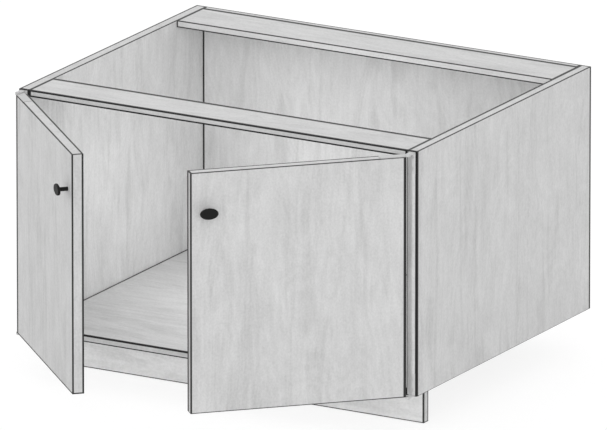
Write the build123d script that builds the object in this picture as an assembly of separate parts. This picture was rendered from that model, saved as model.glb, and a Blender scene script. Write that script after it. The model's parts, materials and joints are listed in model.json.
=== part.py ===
from build123d import *

import os

# Sink base cabinet: an open-topped carcass on four levelling legs, with a recessed
# kick board and two hinged doors that stand half open.
#
# Millimetres, +X to the right, +Y to the back, +Z up. The pieces are drawn with y = 0
# on the carcass's front edges and moved at the end, so that the origin is the middle
# of the whole object's footprint, at floor level.

LEFT, RIGHT = -1, 1
BOTTOM, TOP = -1, 1
SIDE_NAMES = {LEFT: "left", RIGHT: "right"}
LEVEL_NAMES = {TOP: "top", BOTTOM: "bottom"}

# ---- carcass boards
cabinet_width = 800.0
cabinet_depth = 620.0
carcass_height = 443.0
leg_height = 69.0
side_thickness = 20.0
bottom_thickness = 12.0
rail_thickness = 12.0
back_thickness = 14.0
front_rail_depth = 86.0
rear_rail_depth = 92.0

# ---- kick board
kick_thickness = 16.0
kick_recess = 60.0
kick_end_gap = 20.0
kick_floor_gap = 2.0
kick_top_gap = 1.0

# ---- doors
door_thickness = 21.0
door_side_reveal = 11.4
door_middle_gap = 3.2
door_top_gap = 5.0
door_bottom_gap = 4.4
door_back_gap = 1.7
door_rest_angle = 45.0

# ---- pivot hinges
hinge_inset = 8.2
hinge_forward = 18.8
hinge_eye_radius = 4.5
hinge_pin_radius = 2.5
hinge_running_clearance = 0.05
hinge_pin_head_radius = 3.8
hinge_pin_head_height = 0.9
leaf_thickness = 1.4
leaf_gap = 0.3
leaf_reach = 46.0
leaf_width = 15.0
leaf_front_margin = 1.2
leaf_screw_spacing = 22.0
leaf_screw_length = 18.0
arm_thickness = 1.8
bracket_thickness = 1.6
bracket_width = 13.0
bracket_height = 40.0
bracket_screw_spacing = 20.0
bracket_screw_length = 18.0
hinge_screw_radius = 1.75
hinge_screw_head_radius = 3.2
hinge_screw_head_height = 1.2

# ---- joinery in the boards
hole_ease = 0.05
dowel_radius = 3.0
dowel_in_side = 10.0
dowel_in_board = 22.0
cam_radius = 6.0
cam_height = 9.0
cam_from_end = 30.0
cam_bolt_radius = 2.5
cam_bolt_in_side = 11.0
cam_slot_length = 8.4
cam_slot_width = 1.6
cam_slot_depth = 1.5
rail_dowel_offset = 26.0
bottom_cam_edge = 90.0
bottom_dowel_edge = 50.0
back_dowel_edge = 60.0
back_screw_radius = 2.0
back_screw_length = 40.0
back_screw_head_radius = 4.0
back_screw_head_height = 2.5
back_screw_count = 4
back_screw_edge = 90.0

# ---- worktop fixing pilots, drilled into the rails from below
worktop_pilot_radius = 2.5
worktop_pilot_depth = 8.0
worktop_pilot_spacing = 500.0

# ---- levelling legs
leg_inset_x = 150.0
rear_leg_inset = 80.0
leg_flange_radius = 32.0
leg_flange_thickness = 4.0
leg_sleeve_radius = 18.0
leg_sleeve_length = 39.0
leg_stem_radius = 12.0
leg_stem_clearance = 0.05
leg_stem_top_gap = 12.0
leg_groove_depth = 0.8
leg_groove_width = 1.5
leg_groove_pitch = 4.0
leg_groove_count = 5
leg_pad_radius = 25.0
leg_pad_height = 8.0
leg_pad_edge = 2.0
leg_screw_circle = 25.0
leg_screw_radius = 1.75
leg_screw_length = 13.0
leg_screw_head_radius = 3.4
leg_screw_head_height = 2.0
leg_screw_count = 4

# ---- plinth clips
clip_plate_thickness = 4.0
clip_plate_width = 44.0
clip_height = 22.0
clip_wall = 3.0
clip_mouth = 24.0
clip_drop = 6.0
clip_web = 11.0
clip_screw_spacing = 34.0
clip_screw_radius = 1.75
clip_screw_length = 14.0
clip_screw_head_radius = 3.2
clip_screw_head_height = 2.0

# ---- magnetic catches, on the bottom panel
catch_offset = 30.0
catch_width = 36.0
catch_height = 14.0
catch_depth = 20.0
catch_stand_out = 0.4
catch_edge = 1.5
magnet_width = 24.0
magnet_height = 7.0
magnet_depth = 10.0
catch_screw_spacing = 28.0
catch_screw_from_back = 5.0
catch_screw_radius = 1.5
catch_screw_length = 20.0
catch_screw_head_radius = 2.8
catch_screw_head_height = 2.0
strike_width = 32.0
strike_height = 11.0
strike_thickness = 1.0
strike_screw_spacing = 25.2
strike_screw_radius = 1.5
strike_screw_length = 12.0
strike_screw_head_radius = 2.4
strike_screw_head_height = 0.9

# ---- knobs
knob_from_free_edge = 28.7
knob_below_top = 69.6
knob_head_width = 33.0
knob_head_height = 20.0
knob_head_thickness = 4.9
knob_head_edge = 1.8
knob_stem_radius = 3.7
knob_stem_length = 16.6
knob_screw_radius = 2.0
knob_screw_in_stem = 12.0
knob_screw_head_radius = 4.2
knob_screw_head_height = 2.4
knob_screw_head_edge = 0.96

# ---- places worked out from the sizes above
half_width = cabinet_width / 2
half_inside = half_width - side_thickness
carcass_bottom = leg_height
carcass_top = carcass_bottom + carcass_height
floor_top = carcass_bottom + bottom_thickness
rail_bottom = carcass_top - rail_thickness
back_front = cabinet_depth - back_thickness
rear_rail_front = back_front - rear_rail_depth
door_width = half_width - door_side_reveal - door_middle_gap / 2
door_bottom = carcass_bottom + door_bottom_gap
door_top = carcass_top - door_top_gap
door_back = -door_back_gap
door_front = door_back - door_thickness
hinge_x = half_width - hinge_inset
hinge_y = -hinge_forward
clip_plate_back = kick_recess + kick_thickness + clip_plate_thickness
front_leg_y = clip_plate_back + clip_web + leg_sleeve_radius
rear_leg_y = cabinet_depth - rear_leg_inset


# ---- helpers
def block(x_range, y_range, z_range):
    """A box between two values on each axis, given in either order."""
    spans = [sorted(pair) for pair in (x_range, y_range, z_range)]
    sizes = [high - low for low, high in spans]
    middle = [(low + high) / 2 for low, high in spans]
    return Pos(*middle) * Box(*sizes)


def rod(start, direction, radius, length, ease=0.0):
    """A cylinder from a start point along a direction. A hole for it adds the ease."""
    place = Plane(origin=start, z_dir=direction)
    low = (Align.CENTER, Align.CENTER, Align.MIN)
    return place * Cylinder(radius + ease, length + ease, align=low)


def ring(centre, inner_radius, outer_radius, height):
    """A tube that stands on its centre point."""
    outer = rod(centre, (0, 0, 1), outer_radius, height)
    return outer - rod(centre, (0, 0, 1), inner_radius, height)


def screw(start, direction, radius, length, head_radius, head_height, ease=0.0):
    """A countersunk screw: the head's flat face is at the start point."""
    place = Plane(origin=start, z_dir=direction)
    low = (Align.CENTER, Align.CENTER, Align.MIN)
    head = place * Cone(head_radius + ease, radius + ease, head_height, align=low)
    return head + rod(start, direction, radius, length, ease)


def group(shapes):
    """Separate solids that share one node."""
    return Compound(children=list(shapes))


def cut_all(body, tools):
    for tool in tools:
        body = body - tool
    return body


def spread(low, high, count):
    """Evenly spaced values from low to high, ends included."""
    step = (high - low) / (count - 1)
    return [low + step * index for index in range(count)]


def swing(shape, side):
    """Turn a piece of a closed door to its place on the half open door."""
    axis = Axis((side * hinge_x, hinge_y, 0), (0, 0, 1))
    return shape.rotate(axis, side * door_rest_angle)


# ---- joinery: dowels, cams and their bolts, from the sides into the boards
def dowel_at(side, y, z, ease):
    start = (side * (half_inside + dowel_in_side + ease), y, z)
    length = dowel_in_side + dowel_in_board + ease
    return rod(start, (-side, 0, 0), dowel_radius, length, ease)


def cam_at(side, y, underside):
    """A cam set into a board's underside, with a cross slot in its face."""
    x = side * (half_inside - cam_from_end)
    body = rod((x, y, underside), (0, 0, 1), cam_radius, cam_height)
    slot_x = (x - cam_slot_length / 2, x + cam_slot_length / 2)
    slot_y = (y - cam_slot_width / 2, y + cam_slot_width / 2)
    return body - block(slot_x, slot_y, (underside, underside + cam_slot_depth))


def cam_seat(side, y, underside):
    x = side * (half_inside - cam_from_end)
    return rod((x, y, underside), (0, 0, 1), cam_radius, cam_height, hole_ease)


def cam_bolt_at(side, y, z, ease):
    """A bolt from the side panel to its cam, hollowed at the end to the cam's round."""
    start = (side * (half_inside + cam_bolt_in_side + ease), y, z)
    length = cam_bolt_in_side + ease + cam_from_end - cam_radius
    bolt = rod(start, (-side, 0, 0), cam_bolt_radius, length, ease)
    cam_foot = (side * (half_inside - cam_from_end), y, z - cam_height)
    return bolt - rod(cam_foot, (0, 0, 1), cam_radius, 2 * cam_height, hole_ease)


front_rail_y = front_rail_depth / 2
rear_rail_y = rear_rail_front + rear_rail_depth / 2
rail_middle_z = carcass_top - rail_thickness / 2
floor_middle_z = carcass_bottom + bottom_thickness / 2
rail_dowel_ys = [y + shift for y in (front_rail_y, rear_rail_y)
                 for shift in (-rail_dowel_offset, rail_dowel_offset)]
floor_cam_ys = [bottom_cam_edge, back_front - bottom_cam_edge]
floor_dowel_ys = spread(bottom_dowel_edge, back_front - bottom_dowel_edge, 3)
back_dowel_zs = spread(floor_top + back_dowel_edge, rail_bottom - back_dowel_edge, 3)
back_middle_y = back_front + back_thickness / 2


def dowels(ease=0.0):
    spots = [(y, rail_middle_z) for y in rail_dowel_ys]
    spots += [(y, floor_middle_z) for y in floor_dowel_ys]
    spots += [(back_middle_y, z) for z in back_dowel_zs]
    return [dowel_at(side, y, z, ease) for side in (LEFT, RIGHT) for y, z in spots]


def cam_spots():
    rails = [(y, rail_bottom, rail_middle_z) for y in (front_rail_y, rear_rail_y)]
    floor = [(y, carcass_bottom, floor_middle_z) for y in floor_cam_ys]
    return [(side, *spot) for side in (LEFT, RIGHT) for spot in rails + floor]


def cams():
    return [cam_at(side, y, underside) for side, y, underside, _ in cam_spots()]


def cam_seats():
    return [cam_seat(side, y, underside) for side, y, underside, _ in cam_spots()]


def cam_bolts(ease=0.0):
    return [cam_bolt_at(side, y, z, ease) for side, y, _, z in cam_spots()]


def back_screws(ease=0.0):
    xs = spread(-half_inside + back_screw_edge, half_inside - back_screw_edge, back_screw_count)
    return [screw((x, cabinet_depth, z), (0, -1, 0), back_screw_radius, back_screw_length,
                  back_screw_head_radius, back_screw_head_height, ease)
            for z in (rail_middle_z, floor_middle_z) for x in xs]


def worktop_pilots():
    half = worktop_pilot_spacing / 2
    return [rod((x, y, rail_bottom), (0, 0, 1), worktop_pilot_radius, worktop_pilot_depth)
            for x in (-half, half) for y in (front_rail_y, rear_rail_y)]


# ---- pivot hinges: a bracket on the carcass, a leaf on the door and a pin between them
def level_z(level, above):
    """A height measured outwards from the door's top or bottom edge."""
    edge = door_top if level == TOP else door_bottom
    return edge + level * above


def bracket_end_z(level):
    """The height of the bracket's outer end, which is also the far face of its arm."""
    return level_z(level, leaf_thickness + leaf_gap + arm_thickness)


def bracket_plate(side, level):
    """The plate let into the side panel's front edge. The panel's recess has its shape."""
    end_z = bracket_end_z(level)
    centre_x = side * (half_width - side_thickness / 2)
    plate_x = (centre_x - bracket_width / 2, centre_x + bracket_width / 2)
    return block(plate_x, (0, bracket_thickness), (end_z, end_z - level * bracket_height))


def hinge_bracket(side, level):
    arm_low, arm_high = level_z(level, leaf_thickness + leaf_gap), bracket_end_z(level)
    x = side * hinge_x
    arm_x = (x - hinge_eye_radius, x + hinge_eye_radius)
    arm = block(arm_x, (hinge_y, bracket_thickness), (arm_low, arm_high))
    base = min(arm_low, arm_high)
    eye = rod((x, hinge_y, base), (0, 0, 1), hinge_eye_radius, arm_thickness)
    bore_radius = hinge_pin_radius + hinge_running_clearance
    bore = rod((x, hinge_y, base), (0, 0, 1), bore_radius, arm_thickness)
    return bracket_plate(side, level) + arm + eye - bore


def bracket_screws(side, level, ease=0.0):
    middle = bracket_end_z(level) - level * bracket_height / 2
    x = side * (half_width - side_thickness / 2)
    return [screw((x, 0, middle + shift), (0, 1, 0), hinge_screw_radius, bracket_screw_length,
                  hinge_screw_head_radius, hinge_screw_head_height, ease)
            for shift in (-bracket_screw_spacing / 2, bracket_screw_spacing / 2)]


def hinge_leaf(side, level):
    low, high = level_z(level, 0), level_z(level, leaf_thickness)
    x = side * hinge_x
    door_edge = side * (half_width - door_side_reveal)
    leaf_y = (door_front + leaf_front_margin, door_front + leaf_front_margin + leaf_width)
    plate = block((x, door_edge - side * leaf_reach), leaf_y, (low, high))
    base = min(low, high)
    eye = rod((x, hinge_y, base), (0, 0, 1), hinge_eye_radius, leaf_thickness)
    bore = rod((x, hinge_y, base), (0, 0, 1), hinge_pin_radius, leaf_thickness)
    return plate + eye - bore


def leaf_screws(side, level, ease=0.0):
    door_edge = side * (half_width - door_side_reveal)
    y = door_front + leaf_front_margin + leaf_width / 2
    middle = door_edge - side * leaf_reach / 2
    return [screw((middle + shift, y, level_z(level, leaf_thickness)), (0, 0, -level),
                  hinge_screw_radius, leaf_screw_length,
                  hinge_screw_head_radius, hinge_screw_head_height, ease)
            for shift in (-leaf_screw_spacing / 2, leaf_screw_spacing / 2)]


def hinge_pin(side, level):
    shank_height = leaf_thickness + leaf_gap + arm_thickness
    foot = (side * hinge_x, hinge_y, level_z(level, 0))
    shank = rod(foot, (0, 0, level), hinge_pin_radius, shank_height)
    top = (side * hinge_x, hinge_y, level_z(level, shank_height))
    return shank + rod(top, (0, 0, level), hinge_pin_head_radius, hinge_pin_head_height)


# ---- doors, knobs and strike plates, drawn closed
def knob_centre_x(side):
    return side * (half_width - door_side_reveal - door_width + knob_from_free_edge)


def knob(side):
    x, z = knob_centre_x(side), door_top - knob_below_top
    stem = rod((x, door_front, z), (0, -1, 0), knob_stem_radius, knob_stem_length)
    face = Plane(origin=(x, door_front - knob_stem_length, z), x_dir=(1, 0, 0), z_dir=(0, -1, 0))
    outline = face * Ellipse(knob_head_width / 2, knob_head_height / 2)
    head = extrude(outline, knob_head_thickness)
    return fillet(head.edges(), knob_head_edge) + stem - knob_screw_shank(side, hole_ease)


def knob_screw_shank(side, ease=0.0):
    x, z = knob_centre_x(side), door_top - knob_below_top
    length = door_thickness + knob_screw_in_stem
    return rod((x, door_back, z), (0, -1, 0), knob_screw_radius, length, ease)


def knob_screw(side):
    x, z = knob_centre_x(side), door_top - knob_below_top
    head = rod((x, door_back, z), (0, 1, 0), knob_screw_head_radius, knob_screw_head_height)
    edge = head.edges().sort_by(Axis.Y)[-1]
    return knob_screw_shank(side) + fillet(edge, knob_screw_head_edge)


catch_z = floor_top + catch_height / 2


def strike_plate(side):
    x = side * catch_offset
    plate = block((x - strike_width / 2, x + strike_width / 2),
                  (door_back, door_back + strike_thickness),
                  (catch_z - strike_height / 2, catch_z + strike_height / 2))
    return cut_all(plate, strike_screws(side, hole_ease))


def strike_screws(side, ease=0.0):
    x, y = side * catch_offset, door_back + strike_thickness
    half = strike_screw_spacing / 2
    return [screw((x + shift, y, catch_z), (0, -1, 0), strike_screw_radius, strike_screw_length,
                  strike_screw_head_radius, strike_screw_head_height, ease)
            for shift in (-half, half)]


def door(side):
    outer = side * (half_width - door_side_reveal)
    board = block((outer, outer - side * door_width), (door_front, door_back),
                  (door_bottom, door_top))
    tools = [knob_screw_shank(side, hole_ease)] + strike_screws(side, hole_ease)
    for level in (TOP, BOTTOM):
        tools += leaf_screws(side, level, hole_ease)
    return cut_all(board, tools)


# ---- magnetic catches, on the bottom panel's front edge
def catch_box(side, width, height, depth):
    x = side * catch_offset
    front = -catch_stand_out
    return block((x - width / 2, x + width / 2), (front, front + depth),
                 (catch_z - height / 2, catch_z + height / 2))


def catch_housing(side):
    body = catch_box(side, catch_width, catch_height, catch_depth)
    body = fillet(body.edges().filter_by(Axis.Z), catch_edge)
    body = body - catch_box(side, magnet_width, magnet_height, magnet_depth)
    return cut_all(body, catch_screws(side, hole_ease))


def catch_magnet(side):
    return catch_box(side, magnet_width, magnet_height, magnet_depth)


def catch_screws(side, ease=0.0):
    x, y = side * catch_offset, catch_depth - catch_stand_out - catch_screw_from_back
    half = catch_screw_spacing / 2
    return [screw((x + shift, y, floor_top + catch_height), (0, 0, -1), catch_screw_radius,
                  catch_screw_length, catch_screw_head_radius, catch_screw_head_height, ease)
            for shift in (-half, half)]


# ---- levelling legs
leg_places = {
    "front_left": (-(half_width - leg_inset_x), front_leg_y),
    "front_right": (half_width - leg_inset_x, front_leg_y),
    "rear_left": (-(half_width - leg_inset_x), rear_leg_y),
    "rear_right": (half_width - leg_inset_x, rear_leg_y),
}


def leg_screws(place, ease=0.0):
    x, y = place
    centres = PolarLocations(leg_screw_circle, leg_screw_count, start_angle=45)
    flange_bottom = carcass_bottom - leg_flange_thickness
    return [screw((x + spot.position.X, y + spot.position.Y, flange_bottom), (0, 0, 1),
                  leg_screw_radius, leg_screw_length, leg_screw_head_radius,
                  leg_screw_head_height, ease)
            for spot in centres]


def leg_socket(place):
    x, y = place
    flange_bottom = carcass_bottom - leg_flange_thickness
    flange = rod((x, y, flange_bottom), (0, 0, 1), leg_flange_radius, leg_flange_thickness)
    sleeve_bottom = carcass_bottom - leg_sleeve_length
    sleeve = rod((x, y, sleeve_bottom), (0, 0, 1), leg_sleeve_radius, leg_sleeve_length)
    bore_radius = leg_stem_radius + leg_stem_clearance
    bore = rod((x, y, sleeve_bottom), (0, 0, 1), bore_radius, leg_sleeve_length)
    return cut_all(flange + sleeve, [bore] + leg_screws(place, hole_ease))


def leg_foot(place):
    """The screw foot: a grooved stem on a round pad."""
    x, y = place
    pad = rod((x, y, 0), (0, 0, 1), leg_pad_radius, leg_pad_height)
    pad = fillet(pad.edges().sort_by(Axis.Z)[-1], leg_pad_edge)
    stem_height = carcass_bottom - leg_stem_top_gap
    foot = pad + rod((x, y, 0), (0, 0, 1), leg_stem_radius, stem_height)
    for index in range(leg_groove_count):
        z = stem_height - (index + 1) * leg_groove_pitch
        inner, outer = leg_stem_radius - leg_groove_depth, leg_stem_radius + leg_groove_depth
        foot = foot - ring((x, y, z), inner, outer, leg_groove_width)
    return foot


# ---- plinth clips: a plate on the kick board's back and a ring that grips a front leg
def plinth_clip(place):
    x, y = place
    top = carcass_bottom - leg_flange_thickness - clip_drop
    bottom = top - clip_height
    kick_back = kick_recess + kick_thickness
    plate = block((x - clip_plate_width / 2, x + clip_plate_width / 2),
                  (kick_back, clip_plate_back), (bottom, top))
    grip = rod((x, y, bottom), (0, 0, 1), leg_sleeve_radius + clip_wall, clip_height)
    web = block((x - clip_mouth / 2, x + clip_mouth / 2), (clip_plate_back, y), (bottom, top))
    mouth = block((x - clip_mouth / 2, x + clip_mouth / 2),
                  (y, y + leg_sleeve_radius + 2 * clip_wall), (bottom, top))
    sleeve = rod((x, y, bottom), (0, 0, 1), leg_sleeve_radius, clip_height)
    return cut_all(plate + grip + web, [sleeve, mouth] + clip_screws(place, hole_ease))


def clip_screws(place, ease=0.0):
    x, _ = place
    z = carcass_bottom - leg_flange_thickness - clip_drop - clip_height / 2
    half = clip_screw_spacing / 2
    return [screw((x + shift, clip_plate_back, z), (0, -1, 0), clip_screw_radius,
                  clip_screw_length, clip_screw_head_radius, clip_screw_head_height, ease)
            for shift in (-half, half)]


def front_leg_places():
    return {side: leg_places["front_" + SIDE_NAMES[side]] for side in (LEFT, RIGHT)}


# ---- boards
def board_end_holes():
    """The holes for dowels, bolts and cams in a flat board's two ends."""
    return dowels(hole_ease) + cam_bolts(hole_ease) + cam_seats()


def side_panel(side):
    board = block((side * half_inside, side * half_width), (0, cabinet_depth),
                  (carcass_bottom, carcass_top))
    tools = dowels(hole_ease) + cam_bolts(hole_ease)
    for level in (TOP, BOTTOM):
        tools += [bracket_plate(side, level)] + bracket_screws(side, level, hole_ease)
    return cut_all(board, tools)


def bottom_panel():
    board = block((-half_inside, half_inside), (0, back_front), (carcass_bottom, floor_top))
    tools = board_end_holes() + back_screws(hole_ease)
    tools += catch_screws(LEFT, hole_ease) + catch_screws(RIGHT, hole_ease)
    for place in leg_places.values():
        tools += leg_screws(place, hole_ease)
    return cut_all(board, tools)


def back_panel():
    board = block((-half_inside, half_inside), (back_front, cabinet_depth),
                  (carcass_bottom, carcass_top))
    return cut_all(board, dowels(hole_ease) + back_screws(hole_ease))


def front_rail():
    board = block((-half_inside, half_inside), (0, front_rail_depth), (rail_bottom, carcass_top))
    return cut_all(board, board_end_holes() + worktop_pilots())


def rear_rail():
    board = block((-half_inside, half_inside), (rear_rail_front, back_front),
                  (rail_bottom, carcass_top))
    return cut_all(board, board_end_holes() + worktop_pilots() + back_screws(hole_ease))


def kick_board():
    end = half_width - kick_end_gap
    board = block((-end, end), (kick_recess, kick_recess + kick_thickness),
                  (kick_floor_gap, carcass_bottom - kick_top_gap))
    places = front_leg_places().values()
    return cut_all(board, [one for place in places for one in clip_screws(place, hole_ease)])


# ---- the whole object
def carcass_nodes():
    nodes = {
        "left_side_panel": side_panel(LEFT),
        "right_side_panel": side_panel(RIGHT),
        "bottom_panel": bottom_panel(),
        "back_panel": back_panel(),
        "front_rail": front_rail(),
        "rear_rail": rear_rail(),
        "kick_board": kick_board(),
        "wood_dowels": group(dowels()),
        "cam_locks": group(cams()),
        "cam_bolts": group(cam_bolts()),
        "back_panel_screws": group(back_screws()),
    }
    for side in (LEFT, RIGHT):
        name = SIDE_NAMES[side]
        nodes[name + "_catch_housing"] = catch_housing(side)
        nodes[name + "_catch_magnet"] = catch_magnet(side)
    nodes["catch_screws"] = group(catch_screws(LEFT) + catch_screws(RIGHT))
    return nodes


def leg_nodes():
    nodes = {}
    for name, place in leg_places.items():
        nodes[name + "_leg_socket"] = leg_socket(place)
        nodes[name + "_leg_foot"] = leg_foot(place)
    nodes["leg_screws"] = group(one for place in leg_places.values() for one in leg_screws(place))
    for side, place in front_leg_places().items():
        nodes[SIDE_NAMES[side] + "_plinth_clip"] = plinth_clip(place)
    places = front_leg_places().values()
    nodes["clip_screws"] = group(one for place in places for one in clip_screws(place))
    return nodes


def hinge_nodes():
    nodes, fixed_screws = {}, []
    for side in (LEFT, RIGHT):
        for level in (TOP, BOTTOM):
            name = SIDE_NAMES[side] + "_" + LEVEL_NAMES[level]
            fixed_screws += bracket_screws(side, level)
            holes = bracket_screws(side, level, hole_ease)
            nodes[name + "_hinge_bracket"] = cut_all(hinge_bracket(side, level), holes)
            leaf = cut_all(hinge_leaf(side, level), leaf_screws(side, level, hole_ease))
            nodes[name + "_hinge_leaf"] = swing(leaf, side)
            nodes[name + "_hinge_pin"] = swing(hinge_pin(side, level), side)
    nodes["hinge_bracket_screws"] = group(fixed_screws)
    return nodes


def door_nodes():
    nodes = {}
    for side in (LEFT, RIGHT):
        name = SIDE_NAMES[side]
        nodes[name + "_door"] = swing(door(side), side)
        nodes[name + "_knob"] = swing(knob(side), side)
        nodes[name + "_knob_screw"] = swing(knob_screw(side), side)
        nodes[name + "_strike_plate"] = swing(strike_plate(side), side)
        nodes[name + "_strike_screws"] = group(swing(one, side) for one in strike_screws(side))
        screws = leaf_screws(side, TOP) + leaf_screws(side, BOTTOM)
        nodes[name + "_hinge_leaf_screws"] = group(swing(one, side) for one in screws)
    return nodes


def frame_shift(nodes):
    """How far to move everything along Y so that the origin is under the middle."""
    boxes = [shape.bounding_box() for shape in nodes.values()]
    front = min(box.min.Y for box in boxes)
    back = max(box.max.Y for box in boxes)
    return -(front + back) / 2


def main():
    nodes = {**carcass_nodes(), **leg_nodes(), **hinge_nodes(), **door_nodes()}
    shift = frame_shift(nodes)
    os.makedirs("parts", exist_ok=True)
    for name, shape in nodes.items():
        solids = [Pos(0, shift, 0) * solid for solid in shape.solids()]
        export_step(Compound(solids), os.path.join("parts", name + ".step"))
    print("nodes:", len(nodes))
    print("the carcass's front edges lie at y =", round(shift, 4))
    print("door hinge axes at x = +/-", round(hinge_x, 4), "y =", round(hinge_y + shift, 4))


main()
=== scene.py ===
import json
import math

import bpy
from mathutils import Matrix, Vector

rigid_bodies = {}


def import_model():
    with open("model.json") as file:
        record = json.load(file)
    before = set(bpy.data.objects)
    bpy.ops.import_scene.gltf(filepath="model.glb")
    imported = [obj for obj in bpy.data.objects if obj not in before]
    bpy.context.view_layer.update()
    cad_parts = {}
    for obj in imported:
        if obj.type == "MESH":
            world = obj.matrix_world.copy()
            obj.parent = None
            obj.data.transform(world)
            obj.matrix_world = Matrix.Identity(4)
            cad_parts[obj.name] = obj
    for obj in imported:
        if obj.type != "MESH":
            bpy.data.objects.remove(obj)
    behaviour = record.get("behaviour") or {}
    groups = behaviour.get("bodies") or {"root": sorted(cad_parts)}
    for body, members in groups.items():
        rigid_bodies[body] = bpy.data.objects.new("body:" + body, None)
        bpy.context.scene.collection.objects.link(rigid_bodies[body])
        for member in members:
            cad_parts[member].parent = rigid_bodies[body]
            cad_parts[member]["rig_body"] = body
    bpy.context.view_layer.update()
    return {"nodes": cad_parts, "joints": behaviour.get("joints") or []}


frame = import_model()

# ---- colours, as linear values; the board's and the knob's match the photograph
BOARD_GREY = 0.590
EDGE_LINE_GREY = 0.022
FRONT_LINE_GREY = 0.006
KNOB_BLACK = (0.006, 0.006, 0.006)
HINGE_GREY = (0.54, 0.54, 0.54)
PLATED_STEEL = (0.62, 0.62, 0.63)
PIN_STEEL = (0.45, 0.45, 0.46)
CAST_ZINC = (0.50, 0.50, 0.51)
BLACK_PLASTIC = (0.030, 0.030, 0.031)
WHITE_PLASTIC = (0.74, 0.74, 0.72)
FERRITE = (0.085, 0.085, 0.088)
BEECH_DARK = (0.60, 0.40, 0.23, 1.0)
BEECH_LIGHT = (0.72, 0.52, 0.32, 1.0)
FLOOR_GREY = (0.92, 0.92, 0.92, 1.0)
WHITE = (1.0, 1.0, 1.0, 1.0)

# ---- the boards
# The axis that each board's grain runs along. A board's seed is its place in this list.
GRAIN_AXES = {
    "left_side_panel": "Z", "right_side_panel": "Z", "back_panel": "Z",
    "left_door": "Z", "right_door": "Z",
    "front_rail": "X", "rear_rail": "X", "bottom_panel": "X", "kick_board": "X",
}

# The dark line along every edge of a board: its width in millimetres, measured across X,
# Y and Z, first at the board's low sides and then at its high sides. Upright faces, flat
# faces and the zone round the carcass's front, where the line is blacker, have their own.
UPRIGHT = (2.6, 2.8, 1.2)
FLAT = (3.4, 4.2, 1.2)
BOLD = (3.8, 5.2, 2.4)
LINES = {
    "left_side_panel": {
        "upright": (UPRIGHT, (2.6, 2.8, 0.85)),
        "flat": (FLAT, (2.4, 4.2, 1.2)),
        "front": (BOLD, BOLD),
    },
    "right_side_panel": {
        "upright": ((2.6, 2.8, 0.7), (2.6, 4.8, 0.9)),
        "flat": ((4.7, 4.2, 1.2), (2.4, 4.2, 1.2)),
        "front": ((1.2, 5.2, 1.6), BOLD),
    },
    "back_panel": {
        "upright": ((3.4, 2.8, 1.2), UPRIGHT),
        "flat": ((3.4, 3.3, 1.2), (3.4, 3.4, 1.2)),
    },
    "front_rail": {
        "upright": (UPRIGHT, UPRIGHT),
        "flat": (FLAT, (0.8, 8.4, 1.2)),
        "front": ((3.8, 5.2, 2.8), BOLD),
    },
    "rear_rail": {
        "upright": ((2.6, 2.8, 2.1), (2.6, 2.8, 1.05)),
        "flat": ((3.4, 3.8, 1.2), (1.6, 4.8, 1.2)),
    },
    "bottom_panel": {
        "upright": (UPRIGHT, UPRIGHT),
        "flat": (FLAT, FLAT),
        "front": ((3.8, 5.2, 1.9), BOLD),
    },
    "kick_board": {
        "upright": ((2.6, 2.8, 1.6), UPRIGHT),
        "flat": (FLAT, FLAT),
    },
    "left_door": {
        "upright": ((9.0, 2.6, 2.4), (2.6, 3.4, 1.0)),
        "flat": ((3.4, 2.4, 1.2), (3.4, 3.4, 1.2)),
    },
    "right_door": {
        "upright": ((2.6, 2.8, 1.4), (5.0, 8.6, 1.0)),
        "flat": ((3.4, 3.4, 1.2), (3.4, 3.8, 1.2)),
    },
}
FRONT_ZONE = 0.0053  # metres back from the carcass's front
FLAT_ZONE = 0.0003  # metres from a top or bottom face within which a point is on it
LINE_SOFTNESS = 0.15  # of the line's width, on either side of its edge

# The woodgrain's noise: scales across and along the grain, detail, roughness, distortion.
GRAIN_NOISE = {
    "figure": (6.5, 1.8, 2.0, 0.5, 0.6),
    "bands": (28.0, 3.6, 4.0, 0.6, 0.9),
    "patches": (15.0, 10.0, 4.0, 0.65, 0.6),
    "streaks": (150.0, 18.0, 4.0, 0.65, 0.4),
    "mottle": (300.0, 240.0, 2.0, 0.6, 0.0),
}
GRAIN_WEIGHTS = {"bands": -0.095, "rings": 0.018, "patches": 0.24, "streaks": 0.20,
                 "mottle": 0.30}
RING_PHASE = 170.0  # radians between the figure's nought and one
BAND_LIMITS = (0.48, 0.66)
SEED_SHIFT = (1.7, 0.9, 2.3)
BOARD_ROUGHNESS = 0.62
BOARD_RELIEF = 0.00012  # metres

# ---- the other materials; a pattern's noise is its detail and roughness, and its scales
# are those across and along its lines
NOISE_MIDDLE = 0.5
NOISE_LIMITS = (0.2, 0.8)
PLAIN_SPECULAR = 0.5
MATT_SPECULAR = 0.3
KNOB_SPECULAR = 0.18
SPECKLE_NOISE = (3.0, 0.6)
SPECKLE_BROAD = 12.0  # the broad pattern's size, in sizes of the fine one
SPECKLE_ROUGHNESS = 0.06  # added and taken away
BRUSHED_NOISE = (2.0, 0.5)
BRUSHED_SCALES = (1400.0, 30.0)
BRUSHED_TONES = (0.92, 1.06)
BRUSHED_ROUGHNESS = (-0.05, 0.08)  # added
BRUSHED_RELIEF = 0.00002
BEECH_NOISE = (4.0, 0.6)
BEECH_SCALES = (900.0, 60.0)
BEECH_LIMITS = (0.25, 0.75)
BEECH_ROUGHNESS = 0.7
BEECH_RELIEF = 0.00005

# ---- light
SKY = 0.81
# Sun lamps: the azimuth from the front and the elevation that the light comes from, in
# degrees, and the strength.
SUNS = {
    "camera_sun": (30.0, 16.0, 0.84),
    "left_sun": (-115.0, 20.0, 0.46),
    "back_sun": (190.0, 30.0, 0.42),
}
SUN_SOFTNESS = math.radians(50.0)
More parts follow.
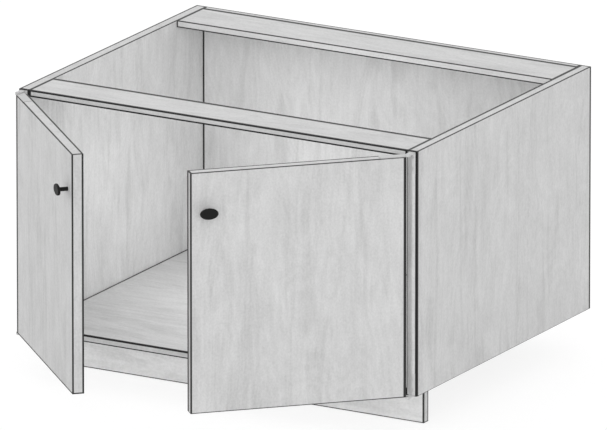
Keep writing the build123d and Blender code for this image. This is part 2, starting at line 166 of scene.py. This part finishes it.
# Fill lamps: place, power, radius, and the only nodes that the lamp lights, if not all.
# The first four stand inside the cabinet. The rest stand in front of it, for the recessed
# kick board and for the front edge that the right door shades.
FILLS = {
    "fill_inside": ((0.0, 0.0, 0.30), 0.50, 0.12, ()),
    "fill_right": ((0.20, 0.02, 0.32), 0.72, 0.12, ()),
    "fill_left": ((-0.20, 0.02, 0.32), 0.34, 0.12, ()),
    "fill_corner": ((-0.12, 0.24, 0.20), 0.80, 0.12, ()),
    "fill_kick_left": ((-0.30, -0.45, 0.03), 2.4, 0.12, ("kick_board",)),
    "fill_kick_middle": ((0.05, -0.45, 0.03), 2.4, 0.12, ("kick_board",)),
    "fill_kick_right": ((0.48, -0.45, 0.03), 2.3, 0.12, ("kick_board",)),
    "fill_edge_right": ((0.45, -0.70, 0.30), 4.6, 0.03,
                        ("right_side_panel", "right_top_hinge_bracket",
                         "right_bottom_hinge_bracket")),
}

# ---- stage and camera
FLOOR_HALF_SIDE = 100.0
FLOOR_GLOW = 1.06
FLOOR_GLOW_SHARE = 0.8  # of the floor where it is seen; the rest takes the shadow

# The lens is in millimetres and the angles, from the front and up, are in degrees. The
# camera stands far off, because the photograph is almost a parallel projection.
CAMERA_LENS = 1200.0
CAMERA_AZIMUTH = 29.813
CAMERA_ELEVATION = 16.344
CAMERA_DISTANCE = 35.41
CAMERA_RIGHT = 0.0716
CAMERA_UP = 0.0416
CAMERA_TARGET = Vector((0.0, 0.0, 0.256))
CAMERA_NEAR = 1.0
CAMERA_FAR = 400.0

DOOR_JOINTS = {joint["child"]: joint for joint in frame["joints"] if joint["type"] == "hinge"}


# ---- a short way to write node trees
class Nodes:
    """A node tree under construction: adds nodes and wires values or sockets into them."""

    def __init__(self, tree):
        self.tree = tree
        tree.nodes.clear()

    def add(self, kind, inputs=None, **settings):
        node = self.tree.nodes.new(kind)
        for key, value in settings.items():
            setattr(node, key, value)
        for key, value in (inputs or {}).items():
            if isinstance(value, bpy.types.NodeSocket):
                self.tree.links.new(value, node.inputs[key])
            else:
                node.inputs[key].default_value = value
        return node

    def math(self, operation, first, second=0.0):
        inputs = {0: first, 1: second}
        return self.add("ShaderNodeMath", inputs, operation=operation).outputs[0]

    def vector(self, operation, first, second):
        inputs = {0: first, 1: second}
        return self.add("ShaderNodeVectorMath", inputs, operation=operation).outputs[0]

    def tinted(self, color, tone):
        inputs = {0: color, "Scale": tone}
        return self.add("ShaderNodeVectorMath", inputs, operation="SCALE").outputs[0]

    def parts(self, vector):
        return self.add("ShaderNodeSeparateXYZ", {"Vector": vector}).outputs

    def mix(self, factor, first, second, data_type="FLOAT"):
        """A mix of two numbers, or of two vectors or colours."""
        inputs = {"Factor": factor, "A": first, "B": second}
        return self.add("ShaderNodeMix", inputs, data_type=data_type).outputs["Result"]

    def ramp(self, value, limits, results=(0.0, 1.0)):
        """A smooth step from the first limit to the second."""
        inputs = {"Value": value, "From Min": limits[0], "From Max": limits[1],
                  "To Min": results[0], "To Max": results[1]}
        node = self.add("ShaderNodeMapRange", inputs, interpolation_type="SMOOTHSTEP")
        return node.outputs["Result"]

    def noise(self, vector, scale, detail, roughness, distortion=0.0):
        inputs = {"Vector": vector, "Scale": scale, "Detail": detail,
                  "Roughness": roughness, "Distortion": distortion}
        return self.add("ShaderNodeTexNoise", inputs).outputs["Fac"]

    def stretched(self, place, scales, along, shift=(0.0, 0.0, 0.0)):
        """The place, scaled across and along one axis."""
        across, lengthwise = scales
        scale = [across] * 3
        scale["XYZ".index(along)] = lengthwise
        inputs = {"Vector": place, "Location": shift, "Scale": scale}
        return self.add("ShaderNodeMapping", inputs).outputs["Vector"]

    def grey(self, value):
        inputs = {"Red": value, "Green": value, "Blue": value}
        return self.add("ShaderNodeCombineColor", inputs).outputs["Color"]

    def seen(self):
        """One on camera, glossy and transmission rays, and nought on the rest."""
        path = self.add("ShaderNodeLightPath").outputs
        glossy_or_clear = self.math("MAXIMUM", path["Is Glossy Ray"],
                                    path["Is Transmission Ray"])
        return self.math("MAXIMUM", path["Is Camera Ray"], glossy_or_clear)


class Shader(Nodes):
    """A material under construction."""

    def __init__(self, name):
        self.material = bpy.data.materials.new(name)
        self.material.use_nodes = True
        super().__init__(self.material.node_tree)

    def place(self):
        return self.add("ShaderNodeTexCoord").outputs["Object"]

    def finish(self, color, roughness, bump, depth, metallic=0.0, specular=PLAIN_SPECULAR):
        """Wires the surface and returns the material."""
        relief = self.add("ShaderNodeBump", {"Height": bump, "Strength": 1.0,
                                             "Distance": depth})
        surface = self.add("ShaderNodeBsdfPrincipled", {
            "Base Color": color, "Roughness": roughness, "Metallic": metallic,
            "Specular IOR Level": specular, "Normal": relief.outputs["Normal"]})
        self.add("ShaderNodeOutputMaterial", {"Surface": surface.outputs["BSDF"]})
        return self.material


# ---- the woodgrain board
def closed_place(body):
    """The pivot and the turn, about Z, that bring a door at rest back to its closed place."""
    if body not in DOOR_JOINTS:
        return Vector((0.0, 0.0, 0.0)), 0.0
    joint = DOOR_JOINTS[body]
    turn = math.radians(joint["range_deg"][0]) * joint["axis"][2]
    return Vector(joint["pos_m"]), turn


def closed_bounds(obj, pivot, turn):
    """The board's lowest and highest corners in its closed place."""
    spin = Matrix.Rotation(turn, 3, "Z")
    points = [pivot + spin @ (vertex.co - pivot) for vertex in obj.data.vertices]
    low = Vector(min(point[axis] for point in points) for axis in range(3))
    high = Vector(max(point[axis] for point in points) for axis in range(3))
    return low, high


def metres(millimetres):
    return Vector(millimetres) / 1000.0


def step_down(shader, value, edge):
    """One below the edge and nought above it, with a narrow soft step."""
    return shader.ramp(value, (edge * (1 + LINE_SOFTNESS), edge * (1 - LINE_SOFTNESS)))


def edge_lines(shader, place, low, high, lines):
    """The strength and the grey of the dark line that follows each edge of the board.

    A point on a face of the box is nought away from that face. Its distances to the
    nearest faces, in line widths, are sorted: the middle one is below 1 on the line.
    """
    from_low = shader.vector("SUBTRACT", place, low)
    from_high = shader.vector("SUBTRACT", high, place)
    nearest_z = shader.parts(shader.vector("MINIMUM", from_low, from_high))["Z"]
    on_flat = step_down(shader, nearest_z, FLAT_ZONE)
    widths = [shader.mix(on_flat, metres(upright), metres(flat), "VECTOR")
              for upright, flat in zip(lines["upright"], lines["flat"])]
    grey = EDGE_LINE_GREY
    if "front" in lines:
        front = step_down(shader, shader.parts(from_low)["Y"], FRONT_ZONE)
        widths = [shader.mix(front, width, metres(bold), "VECTOR")
                  for width, bold in zip(widths, lines["front"])]
        grey = shader.mix(front, EDGE_LINE_GREY, FRONT_LINE_GREY)
    nearest = shader.vector("MINIMUM", shader.vector("DIVIDE", from_low, widths[0]),
                            shader.vector("DIVIDE", from_high, widths[1]))
    x, y, z = shader.parts(nearest)
    larger, smaller = shader.math("MAXIMUM", x, y), shader.math("MINIMUM", x, y)
    middle = shader.math("MAXIMUM", smaller, shader.math("MINIMUM", larger, z))
    return step_down(shader, middle, 1.0), grey


def grain(shader, place, along, seed):
    """Printed woodgrain that runs along one axis: growth rings cut at a slant, dark bands,
    light patches, streaks and pores. Gives the tone, round nought, and the relief."""
    shift = [seed * step for step in SEED_SHIFT]

    def pattern(name):
        *scales, detail, roughness, distortion = GRAIN_NOISE[name]
        stretched = shader.stretched(place, scales, along, shift)
        return shader.noise(stretched, 1.0, detail, roughness, distortion)

    streaks = pattern("streaks")
    parts = {
        "bands": shader.ramp(pattern("bands"), BAND_LIMITS),
        "rings": shader.math("SINE", shader.math("MULTIPLY", pattern("figure"), RING_PHASE)),
        "patches": shader.math("SUBTRACT", pattern("patches"), NOISE_MIDDLE),
        "streaks": shader.math("SUBTRACT", streaks, NOISE_MIDDLE),
        "mottle": shader.math("SUBTRACT", pattern("mottle"), NOISE_MIDDLE),
    }
    tone = 0.0
    for name, part in parts.items():
        tone = shader.math("ADD", tone, shader.math("MULTIPLY", part, GRAIN_WEIGHTS[name]))
    return tone, streaks


def board_material(node, along, seed):
    obj = frame["nodes"][node]
    pivot, turn = closed_place(obj["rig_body"])
    low, high = closed_bounds(obj, pivot, turn)
    shader = Shader("board_" + node)
    place = shader.place()
    if turn:
        inputs = {"Vector": place, "Center": pivot, "Angle": turn}
        turned = shader.add("ShaderNodeVectorRotate", inputs, rotation_type="Z_AXIS")
        place = turned.outputs[0]
    tone, relief = grain(shader, place, along, seed)
    strength, line_grey = edge_lines(shader, place, low, high, LINES[node])
    value = shader.math("MULTIPLY", shader.math("ADD", tone, 1.0), BOARD_GREY)
    color = shader.grey(shader.mix(strength, value, line_grey))
    return shader.finish(color, BOARD_ROUGHNESS, relief, BOARD_RELIEF, specular=MATT_SPECULAR)


# ---- the other materials
def speckled(name, color, roughness, metallic=0.0, specular=PLAIN_SPECULAR, scale=900.0,
             spread=0.08, depth=0.00004):
    """A moulded, cast, lacquered or plated surface with a fine uneven texture. The spread
    is that of its tone."""
    shader = Shader(name)
    place = shader.place()
    fine = shader.noise(place, scale, *SPECKLE_NOISE)
    broad = shader.noise(place, scale / SPECKLE_BROAD, *SPECKLE_NOISE)
    uneven = shader.math("MULTIPLY", shader.math("SUBTRACT", broad, NOISE_MIDDLE), spread)
    tinted = shader.tinted(color, shader.math("ADD", uneven, 1.0))
    rough = shader.ramp(fine, NOISE_LIMITS,
                        (roughness - SPECKLE_ROUGHNESS, roughness + SPECKLE_ROUGHNESS))
    return shader.finish(tinted, rough, fine, depth, metallic, specular)


def brushed(name, color, roughness, along):
    """Plated steel with fine lines along one axis."""
    shader = Shader(name)
    stretched = shader.stretched(shader.place(), BRUSHED_SCALES, along)
    lines = shader.noise(stretched, 1.0, *BRUSHED_NOISE)
    tinted = shader.tinted(color, shader.ramp(lines, NOISE_LIMITS, BRUSHED_TONES))
    rough = shader.ramp(lines, NOISE_LIMITS, [roughness + step for step in BRUSHED_ROUGHNESS])
    return shader.finish(tinted, rough, lines, BRUSHED_RELIEF, metallic=1.0)


def beech(name, along):
    shader = Shader(name)
    stretched = shader.stretched(shader.place(), BEECH_SCALES, along)
    fibre = shader.noise(stretched, 1.0, *BEECH_NOISE)
    color = shader.mix(shader.ramp(fibre, BEECH_LIMITS), BEECH_DARK, BEECH_LIGHT, "RGBA")
    return shader.finish(color, BEECH_ROUGHNESS, fibre, BEECH_RELIEF)


def dress(nodes, material):
    """Gives the material to CAD nodes, in every slot."""
    for node in nodes:
        mesh = frame["nodes"][node].data
        mesh.materials.clear()
        mesh.materials.append(material)
        for polygon in mesh.polygons:
            polygon.material_index = 0


def named(*endings):
    return [node for node in frame["nodes"] if node.endswith(endings)]


def dress_boards():
    for seed, (node, along) in enumerate(GRAIN_AXES.items(), start=1):
        dress([node], board_material(node, along, seed))


def dress_fittings():
    dress(named("_knob"),
          speckled("knob_black", KNOB_BLACK, roughness=0.60, specular=KNOB_SPECULAR,
                   scale=1500.0))
    dress(named("_bracket", "_leaf", "bracket_screws", "leaf_screws"),
          speckled("hinge_lacquer", HINGE_GREY, roughness=0.62, specular=MATT_SPECULAR,
                   scale=1200.0, spread=0.03))
    dress(named("_strike_plate"),
          brushed("plated_steel", PLATED_STEEL, roughness=0.30, along="Z"))
    dress(named("_hinge_pin"),
          brushed("pin_steel", PIN_STEEL, roughness=0.45, along="Z"))
    dress(named("_knob_screw", "strike_screws", "catch_screws", "leg_screws", "clip_screws",
                "back_panel_screws", "cam_bolts"),
          speckled("plated_screw", PLATED_STEEL, roughness=0.34, metallic=1.0, scale=2000.0))
    dress(["cam_locks"],
          speckled("die_cast_zinc", CAST_ZINC, roughness=0.45, metallic=1.0))
    dress(["wood_dowels"], beech("beech", along="X"))
    dress(named("_leg_socket", "_leg_foot", "_plinth_clip"),
          speckled("black_plastic", BLACK_PLASTIC, roughness=0.48))
    dress(named("_catch_housing"), speckled("white_plastic", WHITE_PLASTIC, roughness=0.40))
    dress(named("_catch_magnet"),
          speckled("ferrite", FERRITE, roughness=0.55, metallic=0.4))


# ---- stage, light and camera
def add_object(name, data):
    obj = bpy.data.objects.new(name, data)
    bpy.context.scene.collection.objects.link(obj)
    return obj


def direction(azimuth, elevation):
    """The way to a place that is seen at these angles, in degrees from the front and up."""
    turn, rise = math.radians(azimuth), math.radians(elevation)
    return Vector((math.cos(rise) * math.sin(turn), -math.cos(rise) * math.cos(turn),
                   math.sin(rise)))


def stage_floor():
    """A white floor that keeps a faint shadow of the object."""
    half = FLOOR_HALF_SIDE
    corners = [(-half, -half, 0.0), (half, -half, 0.0), (half, half, 0.0), (-half, half, 0.0)]
    mesh = bpy.data.meshes.new("floor")
    mesh.from_pydata(corners, [], [(0, 1, 2, 3)])
    floor = add_object("floor", mesh)
    shader = Shader("floor_white")
    matt = shader.add("ShaderNodeBsdfDiffuse", {"Color": FLOOR_GREY})
    glow = shader.add("ShaderNodeEmission", {"Color": WHITE, "Strength": FLOOR_GLOW})
    share = shader.math("MULTIPLY", shader.seen(), FLOOR_GLOW_SHARE)
    mixed = shader.add("ShaderNodeMixShader",
                       {0: share, 1: matt.outputs[0], 2: glow.outputs[0]})
    shader.add("ShaderNodeOutputMaterial", {"Surface": mixed.outputs[0]})
    mesh.materials.append(shader.material)


def light_world():
    """An even white sky, and pure white where it is seen."""
    world = bpy.data.worlds.new("studio")
    bpy.context.scene.world = world
    world.use_nodes = True
    nodes = Nodes(world.node_tree)
    sky = nodes.add("ShaderNodeBackground", {"Color": WHITE, "Strength": SKY})
    pure = nodes.add("ShaderNodeBackground", {"Color": WHITE, "Strength": 1.0})
    mixed = nodes.add("ShaderNodeMixShader",
                      {0: nodes.seen(), 1: sky.outputs[0], 2: pure.outputs[0]})
    nodes.add("ShaderNodeOutputWorld", {"Surface": mixed.outputs[0]})


def add_sun(name, azimuth, elevation, strength):
    lamp = bpy.data.lights.new(name, "SUN")
    lamp.energy = strength
    lamp.angle = SUN_SOFTNESS
    sun = add_object(name, lamp)
    source = direction(azimuth, elevation)
    sun.rotation_euler = source.to_track_quat("Z", "Y").to_euler()


def add_fill(name, place, power, radius, only):
    lamp = bpy.data.lights.new(name, "POINT")
    lamp.energy = power
    lamp.shadow_soft_size = radius
    fill = add_object(name, lamp)
    fill.location = place
    fill.visible_camera = False
    fill.visible_glossy = False
    if only:
        lit = bpy.data.collections.new(name + "_lit")
        for node in only:
            lit.objects.link(frame["nodes"][node])
        fill.light_linking.receiver_collection = lit


def set_camera():
    data = bpy.data.cameras.new("camera")
    data.type = "PERSP"
    data.lens = CAMERA_LENS
    data.clip_start = CAMERA_NEAR
    data.clip_end = CAMERA_FAR
    camera = add_object("camera", data)
    back = direction(CAMERA_AZIMUTH, CAMERA_ELEVATION)
    right = Vector((0.0, 0.0, 1.0)).cross(back).normalized()
    up = back.cross(right)
    camera.matrix_world = Matrix((right, up, back)).transposed().to_4x4()
    camera.location = (CAMERA_TARGET + back * CAMERA_DISTANCE + right * CAMERA_RIGHT
                       + up * CAMERA_UP)
    bpy.context.scene.camera = camera


set_camera()
stage_floor()
light_world()
for name, values in SUNS.items():
    add_sun(name, *values)
for name, values in FILLS.items():
    add_fill(name, *values)
dress_boards()
dress_fittings()
bpy.context.scene.view_settings.view_transform = "Standard"
